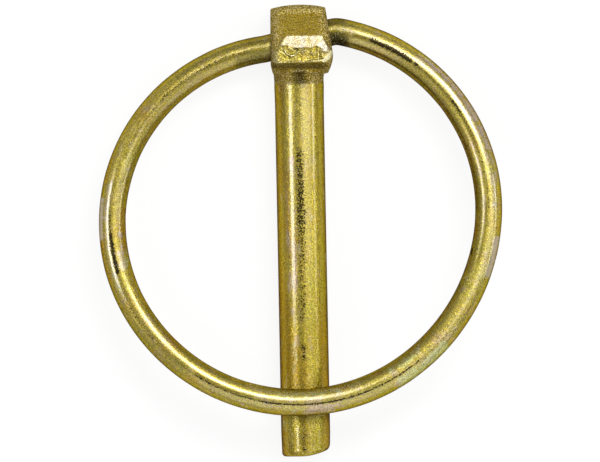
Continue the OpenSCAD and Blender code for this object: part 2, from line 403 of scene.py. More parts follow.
def block_distance(p, s):
    """Distance to the upset block: what two leaning cheeks, two flat faces, the domed top and the
    conical seat share, with worn edges."""
    x, y, z = np.moveaxis(p, -1, 0)
    rise = y - s.neck_len
    left = (-x - s.left_reach) * math.cos(s.left_draft) + rise * math.sin(s.left_draft)
    right = (x - s.right_reach) * math.cos(s.right_draft) + rise * math.sin(s.right_draft)
    dome = np.hypot(x - s.dome_shift, rise - s.head_h + s.dome_r) - s.dome_r
    spread = np.hypot(x - s.seat_shift, z) - s.seat_d / 2
    seat = spread * math.cos(s.seat_angle) - rise * math.sin(s.seat_angle)
    under = -rise - UNDER_DROP
    faces = np.abs(z) - s.head_depth / 2
    front = both(both(left, right, CORNER_ROUND), dome, CORNER_ROUND)
    head = both(both(front, faces, s.edge_r), seat, SEAT_ROUND)
    return both(head, under, UNDER_ROUND)


# Outline of the nose from the front, and the ragged edge where its smooth facet
# gives way to torn metal: distance from the axis and height above the foot (mm).
NOSE_LEFT = [
    (-3.15, 0.3), (-3.28, 1), (-3.31, 2.04), (-3.16, 2.58), (-2.63, 3.19), (-2.39, 3.79),
    (-2.03, 4.3), (-1.4, 4.72),
]
NOSE_RIGHT = [
    (3.7, 0.3), (4.12, 0.95), (4.36, 1.85), (4.4, 2.55), (4, 3.2), (3.59, 3.8), (3.06, 4.72),
]
TORN_EDGE = [
    (-3.3, 3), (-2.36, 3.38), (-1.4, 3.43), (-0.66, 3.07), (0.22, 3.06), (0.99, 3.1),
    (1.66, 3.03), (2.29, 3.32), (2.89, 3), (3.23, 2.58), (3.91, 2.44), (4.25, 2.71),
]
# Grooves in the nose's torn metal, sunk and painted with shade, and ridges where the last
# number is negative, painted with highlights, among them the glint along the nose's lower
# right edge: both ends of each, half its width (mm), and how strong it is.
TORN_MARKS = [
    (-1.82, 2.85, -1.51, 2.32, 0.14, -0.75), (-1.51, 2.32, -0.92, 2.02, 0.15, -0.8),
    (-0.92, 2.02, -0.5, 2.16, 0.14, -0.8), (-0.5, 2.16, 0.01, 2.61, 0.12, -0.7),
    (0.01, 2.61, 0.65, 2.64, 0.1, -0.55), (-1.25, 3.09, -0.74, 2.85, 0.17, -0.6),
    (0.75, 2.76, 0.93, 2.68, 0.12, -0.8), (1.61, 2.47, 1.77, 2.3, 0.12, -0.7),
    (1.95, 2.25, 2.2, 2.09, 0.1, -0.45), (2.59, 2.91, 2.6, 1.46, 0.06, -0.6),
    (3.09, 2.87, 3.07, 1.82, 0.05, -0.45), (1.85, 2.99, 1.88, 1.93, 0.05, -0.3),
    (-3.23, 1.37, -2.04, 1.24, 0.06, -0.65), (-2.04, 1.24, 1.45, 1.21, 0.06, -0.65),
    (1.64, 1.34, 3.34, 1.46, 0.13, -0.8), (2.65, 1.38, 2.66, 1.31, 0.13, -1),
    (3.31, 1.49, 3.94, 1.87, 0.22, -1), (3.94, 1.87, 4.3, 2.42, 0.23, -1),
    (-2.35, 3.8, -2.5, 3.26, 0.05, -0.7), (-2.5, 3.26, -3.09, 2.72, 0.06, -0.7),
    (-3.09, 2.72, -3.28, 2.21, 0.06, -0.7), (-3.28, 2.21, -3.24, 1.57, 0.06, -0.65),
    (-0.58, 3.13, -0.19, 2.91, 0.14, 1), (-0.12, 2.93, 0.39, 3.04, 0.06, 0.6),
    (0.39, 3.04, 0.75, 3.01, 0.08, 0.7), (-2.27, 3.3, -1.91, 3.28, 0.08, 0.8),
    (-2.07, 3.11, -1.86, 2.87, 0.06, 0.6), (-2.63, 2.89, -2.91, 2.35, 0.06, 0.55),
    (-2.91, 2.35, -2.93, 1.79, 0.06, 0.55), (-2.93, 1.79, -2.68, 1.42, 0.06, 0.5),
    (-1.42, 2.18, -1.06, 1.85, 0.08, 0.8), (-1.06, 1.85, -1.2, 1.66, 0.06, 0.6),
    (-1.95, 2.65, -1.63, 2.22, 0.06, 0.5), (0.24, 2.5, 0.46, 2.23, 0.1, 0.65),
    (2.36, 3.12, 2.34, 1.92, 0.08, 0.6), (2.86, 2.88, 2.86, 1.68, 0.1, 0.7),
    (2.11, 2.75, 2.06, 2.02, 0.05, 0.4), (3.22, 2.64, 3.21, 1.72, 0.05, 0.35),
    (-2.03, 1.4, 1.45, 1.36, 0.06, 0.45),
]


def strokes(x, y, marks):
    """Straight strokes, of which the strongest counts at each point. Each has its full strength
    along a line from one point to another, and falls smoothly to nought at 1.6 half widths from
    it. All lengths are in millimetres."""
    total = np.zeros(np.broadcast(x, y).shape)
    for x0, y0, x1, y1, half_width, strength in marks:
        dx, dy = x1 - x0, y1 - y0
        t = np.clip(((x - x0) * dx + (y - y0) * dy) / (dx * dx + dy * dy), 0, 1)
        away = np.hypot(x - x0 - t * dx, y - y0 - t * dy) / half_width
        value = strength * (1 - smooth(0.2, 1.6, away))
        total = np.where(np.abs(value) > np.abs(total), value, total)
    return total


def side_of(rise, outline):
    """Distance from the axis to one side of the nose, at a height above the foot."""
    reach, height = np.array(outline).T * MM
    return np.interp(rise, height, reach)


def ragged_edge(x):
    """Height above the foot of the torn metal's ragged edge, at a distance from the axis."""
    reach, height = np.array(TORN_EDGE).T * MM
    return np.interp(x, reach, height)


def nose_distance(p, s):
    """Distance to the nose: a smooth facet above, torn metal below it, an underside, and two sides
    that fall back to the head. The torn face carries folds and pits."""
    x, y, z = np.moveaxis(p, -1, 0)
    rise = y - s.neck_len
    face = z - s.head_depth / 2
    facet = face - (s.nose_top - rise) * s.nose_out / (s.nose_top - TORN_HEIGHT)
    proud = s.nose_out + s.lip_out
    torn = face - proud + (rise - s.nose_lip) * s.lip_out / (TORN_HEIGHT - s.nose_lip)
    torn = torn + torn_relief(x, rise, s)
    below = smooth(-0.04 * MM, 0.1 * MM, ragged_edge(x) - rise)
    front = facet + (np.maximum(torn, facet) - facet) * below
    under = (face - (rise - s.nose_foot) * proud / (s.nose_lip - s.nose_foot)) * UNDER_COSINE
    beside_facet = smooth(2.9 * MM, 3.4 * MM, rise)
    lean = proud / s.nose_bevel * (1.3 + 1.2 * beside_facet)
    left = (face - (x - side_of(rise, NOSE_LEFT)) * lean) / np.hypot(1, lean)
    right = (face - (side_of(rise, NOSE_RIGHT) - x) * lean) / np.hypot(1, lean)
    worn = RIGHT_ROUND + RIGHT_WEAR * (1 - smooth(2.4 * MM, 3.4 * MM, rise))
    front = both(both(both(front, under, LIP_ROUND), left, LEFT_ROUND), right, worn)
    walls = np.maximum(side_of(rise, NOSE_LEFT) - x, x - side_of(rise, NOSE_RIGHT))
    bounds = np.maximum(s.nose_foot - rise, rise - s.nose_top)
    return np.maximum.reduce([front, walls, bounds, NOSE_ROOT - z])


def torn_relief(x, rise, s):
    """How far the torn metal lies below its flat face: a step at its ragged edge, grooves and
    ridges, and small pits, all fading out at the lip and towards both sides."""
    flat = np.stack([x, rise, np.zeros_like(x)], -1)
    pits = 0.2 * value_noise(flat, 0.3 * MM, 5)
    lip = smooth(s.nose_lip, s.nose_lip + 0.35 * MM, rise)
    right = 1 - smooth(3.1 * MM, 3.7 * MM, x)
    folds = strokes(x / MM, rise / MM, TORN_MARKS)
    return (s.torn_step + s.torn_depth * (pits + folds)) * lip * right


def forged_distance(p, s):
    """Distance to the whole pin, before its bore, with the uneven surface of a forging: long waves
    on the shank, and rougher skin on the neck and the head's borders."""
    x, y, z = np.moveaxis(p, -1, 0)
    solid = either(shank_distance(p, s), block_distance(p, s), FOOT_FILLET)
    solid = either(solid, nose_distance(p, s), NOSE_FILLET)
    stretched = p * np.array([1, 0.12, 1])
    waves = 0.01 * MM * (1 + value_noise(stretched, 1.6 * MM, 11))
    neck = smooth(3 * MM, 3.8 * MM, y) * (1 - smooth(5 * MM, 5.6 * MM, y))
    border = smooth(0.8 * MM, 1.6 * MM, np.abs(x) - 1.6 * MM) * smooth(5 * MM, 7 * MM, y)
    skin = 0.03 * value_noise(p, 0.42 * MM, 12) + 0.02 * value_noise(p, 0.2 * MM, 13) + 0.05
    return solid + waves + skin * MM * (0.1 + 0.9 * neck + 0.5 * border)


def pin_rays(s):
    """Origins on the axis and directions for every point of the pin's grid: they fan out over the
    tip, stand square to the axis along the shank and head, and fan out again over the top."""
    tip_centre = -s.tip_y + TIP_FAN
    top_centre = s.neck_len + s.head_h - TOP_FAN
    tip = np.linspace(-math.pi / 2, 0, TIP_ROWS, endpoint=False)[1:]
    shank_y = np.linspace(tip_centre, HEAD_FROM, SHANK_ROWS, endpoint=False)
    head_y = np.linspace(HEAD_FROM, top_centre, HEAD_ROWS, endpoint=False)
    top = np.linspace(0, math.pi / 2, TOP_ROWS, endpoint=False)
    rise = np.concatenate([tip, np.zeros(SHANK_ROWS + HEAD_ROWS), top])
    origin_y = np.concatenate([0 * tip + tip_centre, shank_y, head_y, 0 * top + top_centre])
    rise, turn = np.meshgrid(rise, turns_round(PIN_COLUMNS, PIN_CROWDING), indexing="ij")
    direction = np.stack([
        -np.sin(turn) * np.cos(rise), np.sin(rise), -np.cos(turn) * np.cos(rise)
    ], -1)
    origin = np.zeros_like(direction)
    origin[..., 1] = origin_y[:, None]
    return origin, direction


def forged_surface(s):
    """The pin's grid: every point is moved out along its ray by bisection until its distance to
    the forged solid is nought."""
    origin, direction = pin_rays(s)
    low = np.zeros(origin.shape[:2])
    high = np.full(origin.shape[:2], RAY_REACH)
    for _ in range(HALVINGS):
        middle = (low + high) / 2
        inside = forged_distance(origin + middle[..., None] * direction, s) < 0
        low = np.where(inside, middle, low)
        high = np.where(inside, high, middle)
    return origin + ((low + high) / 2)[..., None] * direction


def bore_cutter(ring):
    """A closed tube along the hinge, a little wider than the wire, whose radius grows smoothly
    where it passes the cheeks."""
    front = np.array([0, 0, 1.0])
    side = np.cross(front, BORE_AXIS)
    along = np.linspace(-CUTTER_REACH, CUTTER_REACH, CUTTER_ROWS)
    turn = turns_round(CUTTER_COLUMNS, 0)[:, None]
    mouth = smooth(3.2 * MM, 4.4 * MM, np.abs(along))
    radius = ring.wire_d / 2 + ring.bore_clearance + ring.mouth_flare * mouth
    centre = HINGE_POINT + along[:, None] * BORE_AXIS
    circle = np.cos(turn) * side + np.sin(turn) * front
    rows = centre[:, None] + radius[:, None, None] * circle
    return tube_mesh("bore_cutter", rows, centre[0], centre[-1], along, 1.0)


def bored(mesh, cutter_mesh):
    """The mesh with the cutter taken out of it."""
    body = placed("uncut", mesh)
    cutter = placed("cutter", cutter_mesh)
    cut = body.modifiers.new("bore", "BOOLEAN")
    cut.object = cutter
    cut.operation = "DIFFERENCE"
    cut.solver = "EXACT"
    graph = bpy.context.evaluated_depsgraph_get()
    result = bpy.data.meshes.new_from_object(body.evaluated_get(graph))
    for item in (body, cutter):
        bpy.data.objects.remove(item)
    return result


# ---------------------------------------------------------------- the ring

# Distance between the rows of the ring's mesh, its columns, and how much closer they
# stand at the front.
WIRE_STEP = 0.15 * MM
WIRE_COLUMNS, WIRE_CROWDING = 76, 0.35


def heading(bearing):
    """Direction of a bearing: 0 is up, and it grows clockwise."""
    return np.stack([np.sin(bearing), np.cos(bearing)], -1)


def ring_stretches(r):
    """The wire's stretches in the plane of the bore, from the right-hand end round to the left:
    each is (centre or None, radius, first, last), with bearings on an arc and distances along the
    bore on a straight end. Arcs that meet share their tangent, and the bottom arc's centre lies
    where two circles about its neighbours' centres cross."""
    right_c = np.array([r.right_straight, -r.right_bend_r])
    left_bend_c = np.array([-r.left_straight, r.left_bend_r])
    upper_c = right_c + (r.right_bend_r - r.upper_right_r) * heading(r.right_bend)
    lower_from = r.right_bend + r.upper_right_sweep
    lower_c = upper_c + (r.upper_right_r - r.lower_right_r) * heading(lower_from)
    left_c = left_bend_c - (r.left_bend_r + r.left_r) * heading(r.left_bend)
    gap = left_c - lower_c
    span = np.hypot(*gap)
    towards = gap / span
    across = np.array([-towards[1], towards[0]])
    inset_right = r.lower_right_r - r.bottom_r
    inset_left = r.bottom_r - r.left_r
    along = (inset_right ** 2 - inset_left ** 2 + span ** 2) / (2 * span)
    bottom_c = lower_c + along * towards + math.sqrt(inset_right ** 2 - along ** 2) * across
    bottom_from = math.atan2(*(bottom_c - lower_c)) % TAU
    bottom_to = math.atan2(*(left_c - bottom_c)) % TAU
    return [
        (None, 1, r.end_gap / 2, r.right_straight),
        (right_c, r.right_bend_r, 0, r.right_bend),
        (upper_c, r.upper_right_r, r.right_bend, lower_from),
        (lower_c, r.lower_right_r, lower_from, bottom_from),
        (bottom_c, r.bottom_r, bottom_from, bottom_to),
        (left_c, r.left_r, bottom_to, TAU + r.left_bend),
        (left_bend_c, -r.left_bend_r, TAU + r.left_bend, TAU),
        (None, 1, -r.left_straight, -r.end_gap / 2),
    ], bottom_c


def ring_path(r):
    """Points along the wire's centreline and the outward direction at each, in the plane."""
    stretches, bottom_c = ring_stretches(r)
    points, outwards = [], []
    for centre, radius, first, last in stretches:
        size = abs(last - first) * abs(radius)
        t = np.linspace(first, last, max(3, int(size / WIRE_STEP) + 1))[:-1]
        if centre is None:
            points.append(np.stack([t, np.zeros_like(t)], -1))
            outwards.append(heading(np.zeros_like(t)))
        else:
            points.append(centre + radius * heading(t))
            outwards.append(heading(t))
    points.append([[-r.end_gap / 2, 0]])
    outwards.append([[0, 1]])
    return np.concatenate(points), np.concatenate(outwards), bottom_c


def ring_lean(r, shank_d, bottom_c):
    """How far the closed ring leans forward about the bore, so that its wire rests on the shank."""
    slant = math.atan2(BORE_AXIS[1], BORE_AXIS[0])
    down = -heading(slant)
    ahead = down @ bottom_c
    aside = np.hypot(*(bottom_c - ahead * down))
    reach = (ahead + math.sqrt(r.bottom_r ** 2 - aside ** 2)) * math.cos(slant)
    return math.asin((shank_d / 2 + r.wire_d / 2 + r.closed_gap) / reach)


def ring_surface(r, shank_d):
    """The ring's grid: circles of the wire's radius carried along the path, closing to rounded
    ends, with dents from smooth noise. Returns the rows, both poles, the length up to each row,
    and each point's height across the wire as it is seen from above."""
    flat, outward, bottom_c = ring_path(r)
    lean = ring_lean(r, shank_d, bottom_c)
    up = np.array([-BORE_AXIS[1], BORE_AXIS[0], 0])
    up = up * math.cos(lean) - np.array([0, 0, math.sin(lean)])
    front = np.cross(BORE_AXIS, up)
    plane = np.stack([BORE_AXIS, up])
    centre = HINGE_POINT + flat @ plane
    normal = outward @ plane
    run = np.concatenate([[0], np.cumsum(np.linalg.norm(np.diff(centre, axis=0), axis=1))])
    ends = np.minimum(run, run[-1] - run)
    radius = r.wire_d / 2 - r.end_round + np.sqrt(
        np.maximum(r.end_round ** 2 - np.maximum(r.end_round - ends, 0) ** 2, 0)
    )
    turn = turns_round(WIRE_COLUMNS, WIRE_CROWDING)[:, None]
    circle = -np.cos(turn) * front + np.sin(turn) * normal[:, None]
    rows = centre[:, None] + radius[:, None, None] * circle
    inside = smooth(0, 3 * MM, ends - r.left_straight)[:, None]
    dents = r.dent * inside * np.minimum(value_noise(rows, 2.6 * MM, 21), 0)
    rows = rows + dents[..., None] * circle
    level = normal[:, :2] / np.linalg.norm(normal[:, :2], axis=1)[:, None]
    height = ((rows - centre[:, None])[..., :2] * level[:, None]).sum(-1)
    return rows, centre[0], centre[-1], run, height


# --------------------------------------------------------------- materials

class Nodes:
    """Short ways to add and join the shader nodes of one material or world."""

    def __init__(self, owner):
        owner.use_nodes = True
        self.tree = owner.node_tree
        self.tree.nodes.clear()

    def add(self, kind, inputs=None, **values):
        """A new node with some of its values set, and some of its inputs set or joined."""
        node = self.tree.nodes.new("ShaderNode" + kind)
        for key, value in values.items():
            setattr(node, key, value)
        for key, value in (inputs or {}).items():
            if isinstance(value, bpy.types.NodeSocket):
                self.tree.links.new(value, node.inputs[key])
            else:
                node.inputs[key].default_value = value
        return node

    def math(self, operation, a, b, clamp=False):
        node = self.add("Math", {0: a, 1: b}, operation=operation, use_clamp=clamp)
        return node.outputs[0]

    def plus(self, a, b):
        return self.math("ADD", a, b)

    def times(self, a, b, clamp=False):
        return self.math("MULTIPLY", a, b, clamp)

    def flip(self, value, clamp=False):
        """1 less the value."""
        return self.math("SUBTRACT", 1.0, value, clamp)

    def swing(self, value, amount):
        """How far the value lies above a half, times the amount."""
        return self.times(self.math("SUBTRACT", value, 0.5), amount)

    def ramp(self, value, low, high):
        """0 below low, 1 above high, and a smooth step between."""
        inputs = {"Value": value, "From Min": low, "From Max": high}
        node = self.add("MapRange", inputs, interpolation_type="SMOOTHSTEP")
        return node.outputs["Result"]

    def mix(self, amount, a, b, blend="MIX"):
        """Colour a blended with colour b by the amount."""
        a, b = (v if isinstance(v, bpy.types.NodeSocket) else (*v, 1) for v in (a, b))
        inputs = {0: amount, 6: a, 7: b}
        return self.add("Mix", inputs, data_type="RGBA", blend_type=blend).outputs[2]

    def lay(self, under, shade, cover, strength):
        """A shade laid over a colour, by its cover times a strength."""
        return self.mix(self.times(cover, strength), under, shade)

    def grey(self, value):
        """The same value in all three channels."""
        return self.add("CombineColor", dict.fromkeys((0, 1, 2), value)).outputs[0]

    def noise(self, vector, size, detail=2.0, roughness=0.5, offset=(0, 0, 0), stretch=(1, 1, 1)):
        """Noise whose grains are about size metres across, times the stretch along each axis."""
        scale = [1 / (size * k) for k in stretch]
        places = {"Vector": vector, "Location": offset, "Scale": scale}
        moved = self.add("Mapping", places).outputs[0]
        inputs = {"Vector": moved, "Scale": 1, "Detail": detail, "Roughness": roughness}
        return self.add("TexNoise", inputs).outputs["Fac"]


def film_colour(n, at, field, finish, gloss):
    """The passivated film: olive, brass and amber areas that drift into one another, rose and
    leaf tints, the forging's brown skin, and over all of them speckle, drawing lines and brushing.
    The noises are in field, and the marks on the mesh in at."""
    drift = n.plus(at["warm"], n.swing(field["broad"], 2.0))
    film = n.mix(n.ramp(drift, 0.1, 0.5), finish.olive, finish.brass)
    film = n.mix(n.ramp(drift, 0.5, 1.0), film, finish.amber)
    film = n.lay(film, finish.amber, n.ramp(field["middle"], 0.5, 0.7), 0.85)
    for key, shade in (("rose", finish.rose), ("leaf", finish.leaf)):
        spots = n.plus(at[key], n.swing(field["middle"], 2.6))
        film = n.lay(film, shade, n.ramp(spots, 0.25, 0.75), 0.8)
    tinted = n.times(n.ramp(field["tint"], 0.53, 0.72), at["sheen"], clamp=True)
    film = n.lay(film, finish.rose, tinted, 0.45)
    film = n.lay(film, finish.forged, at["matt"], 0.85)
    contrast = n.math("SUBTRACT", at["frost"], n.times(at["brushed"], 0.25))
    contrast = n.times(n.plus(contrast, 0.8), gloss.speckle)
    dots = n.swing(field["speckle"], contrast)
    drawn = n.times(n.swing(field["lines"], finish.lines), n.flip(at["matt"]))
    brushed = n.swing(field["across"], at["brushed"])
    light = n.plus(n.plus(dots, drawn), n.plus(brushed, 1.0))
    # The tone mark multiplies in here, with its painted shade and painted highlights.
    return n.mix(1.0, film, n.grey(n.times(light, at["shade_and_tone"])), "MULTIPLY")


def worn_colour(n, at, field, film, finish):
    """The film with frost on worn borders, and with ragged patches of bare and bright metal."""
    dusty = n.swing(field["dust"], 0.7)
    film = n.lay(film, finish.frost, n.ramp(n.plus(at["frost"], dusty), 0.3, 0.65), 0.85)
    patchy = n.plus(n.swing(field["middle"], 1.0), n.swing(field["speckle"], 0.2))
    solid = n.flip(n.times(at["bright"], 1.2), clamp=True)
    blots = (("bare", finish.bare, patchy), ("bright", finish.bright, n.times(dusty, solid)))
    for key, shade, blot in blots:
        film = n.lay(film, shade, n.ramp(n.plus(at[key], blot), 0.2, 0.7), 0.85)
    return film


def dark_marks(n, at, grit):
    """Cover of the dark scratches, and of the painted dark reflection down the shank, where the scuff
    mark is set, and of small pits elsewhere.
    """
    scratches = n.ramp(n.plus(at["scuff_and_dark_reflection"], n.swing(grit, 1.8)), 0.44, 0.6)
    pits = n.ramp(n.flip(grit), 0.67, 0.73)
    return n.math("MAXIMUM", n.times(scratches, 0.95), n.times(pits, 0.3))


def zinc_material(name, finish, gloss, grain):
    """Yellow-passivated zinc under a clear gloss, with a fine bump that breaks up the reflections.
    The marks on the mesh say where: warm turns the film from olive to amber, rose and leaf tint
    it, tone darkens or lightens it, as painted shade and painted highlights and as darker and
    lighter film, frost brings pale dots, bright fresh metal and painted highlights, bare grey
    rubbed zinc, also laid along highlights, scuff dark scratches and a painted dark reflection,
    matt the forging's rough skin, brushed a grain across it, and sheen the gloss of the clear
    film. The grain stretches the larger patches along the axes."""
    material = bpy.data.materials.new(name)
    n = Nodes(material)
    place = n.add("TexCoord").outputs["Object"]
    surface = n.add("UVMap", uv_map="surface").outputs[0]
    at = {key: n.add("Attribute", attribute_name=key).outputs["Fac"] for key in MARKS}
    fine = n.noise(place, 0.17 * MM, detail=2, roughness=0.6)
    dust = n.noise(place, 0.15 * MM, detail=1, offset=(4.4, 0, 0))
    grit = n.noise(place, 0.18 * MM, detail=1, offset=(0, 2.2, 0))
    fields = {
        "broad": n.noise(place, 3.5 * MM, detail=4, offset=(3.1, 0, 0), stretch=grain),
        "middle": n.noise(place, 0.9 * MM, detail=4, offset=(0, 7.7, 0), stretch=grain),
        "tint": n.noise(place, 1.6 * MM, detail=3, offset=(0, 0, 5.3), stretch=grain),
        "lines": n.noise(surface, 0.16 * MM, detail=2, stretch=(14, 1, 1)),
        "across": n.noise(place, 0.15 * MM, detail=1, stretch=(9, 1, 1)),
        "speckle": n.ramp(fine, 0.36, 0.64),
        "dust": n.ramp(dust, 0.36, 0.64),
    }
    marks = dark_marks(n, at, grit)
    film = film_colour(n, at, fields, finish, gloss)
    film = worn_colour(n, at, fields, film, finish)
    rough = n.times(at["matt"], finish.matt_roughness)
    rough = n.plus(n.swing(fields["middle"], 0.2), rough)
    facing = n.add("LayerWeight", {"Blend": 0.5}).outputs["Facing"]
    clear = n.times(n.flip(n.ramp(facing, 0.1, 0.45)), n.flip(marks))
    clear = n.times(clear, at["sheen"])
    peeled = n.noise(place, 0.3 * MM, detail=3, roughness=0.6, offset=(9.2, 0, 0))
    wide = n.noise(place, 1.2 * MM, stretch=grain)
    height = n.plus(n.times(peeled, n.plus(at["matt"], 1.0)), wide)
    bump = n.add("Bump", {"Strength": 1, "Distance": gloss.peel, "Height": height})
    shader = n.add("BsdfPrincipled", {
        "Base Color": n.mix(marks, film, finish.dark),
        "Metallic": finish.metallic,
        "Specular Tint": (*finish.edge, 1),
        "Roughness": n.plus(rough, gloss.roughness),
        "Coat Weight": n.times(clear, gloss.coat),
        "Coat Roughness": gloss.coat_roughness,
        "Coat IOR": 1.9,
        "Normal": bump.outputs[0],
    })
    n.add("OutputMaterial", {"Surface": shader.outputs[0]})
    return material


# ------------------------------------------------------------------- marks

# The value that each mark has on most of a piece.
MARKS = {
    "warm": 0.45, "rose": 0.0, "leaf": 0.0, "shade_and_tone": 1.0, "frost": 0.0, "bright": 0.0,
    "bare": 0.0, "scuff_and_dark_reflection": 0.0, "matt": 0.0, "brushed": 0.0, "sheen": 1.0,
}


def set_marks(mesh, values):
    """One number for each vertex of the mesh under the name of each mark."""
    for name, numbers in values.items():
        attribute = mesh.attributes.new(name, "FLOAT", "POINT")
        attribute.data.foreach_set("value", numbers.astype(np.float32))


def vertex_places(mesh):
    """The mesh's vertices as an array of points."""
    places = np.empty(len(mesh.vertices) * 3, np.float32)
    mesh.vertices.foreach_get("co", places)
    return places.reshape(-1, 3).astype(float)


# Marks on the pin's finish, seen from the front: both ends of each, half its width
# (mm) and its strength, which is added to the usual value of that mark.
PIN_MARKS = {
    # The scuff strokes paint a dark speckled streak down the middle of the shank: dark specks, and a
    # painted dark reflection there.
    "scuff_and_dark_reflection": [
        (-0.12, -5.3, -0.08, -12.2, 0.62, 0.56), (-0.08, -12.2, 0, -15.1, 0.72, 0.62),
        (0, -15.1, 0.05, -19.5, 0.66, 0.5), (0, -19.5, -0.1, -26.8, 0.48, 0.44),
        (-0.1, -30.2, 0, -32, 0.36, 0.52), (-0.3, -40.8, -0.2, -43.8, 0.4, 0.42),
    ],
    # Of the bright strokes, the line on the fillet under the nose, the two along the nose's lower
    # right edge and the line down the tip are painted highlights.
    "bright": [
        (3.95, 11.5, 4.03, 10.4, 0.12, 0.6), (-0.9, 5.1, 1.6, 5.1, 0.12, 0.28),
        (3.31, 6.45, 3.94, 6.87, 0.26, 1), (3.94, 6.87, 4.3, 7.42, 0.26, 1),
        (-3.15, 6.45, -3.1, 7.5, 0.36, 0.34), (-1, -40.6, -1.05, -43.8, 0.14, 0.55),
    ],
    "warm": [(-1.75, -8, -1.65, -19, 0.3, 0.6)],
    "rose": [(-1.1, -6, -0.8, -30, 0.4, 0.45), (-1.7, -12, -1.6, -26, 0.3, 0.35)],
    # The tone strokes are painted light and shade: shade on the neck under the nose, on the nose's
    # underside and under its lip, the ring's shadow on the shank below it, and lengthwise bands that
    # darken the shank's rims and left highlight and lighten its left flank.
    "shade_and_tone": [
        (0.1, 4.6, 0.2, 3.9, 0.95, -0.8), (-3.3, 6, 3.4, 5.87, 0.06, -0.2),
        (-3.15, 5.65, 3.2, 5.53, 0.14, -0.6), (-3.1, 5.8, 3.4, 5.75, 0.38, -0.48),
        (-3.2, -38.9, 2.6, -39, 1.1, -0.32), (-0.4, -39, 2.7, -39.1, 1.1, -0.52),
        (-1.1, -1, -1.1, -26, 0.5, -0.14), (-1.95, -1, -1.95, -43, 0.2, 0.16),
        (-3.05, -1, -3.05, -43, 0.34, -0.16), (2.9, -1, 2.9, -27, 0.3, -0.13),
    ],
}
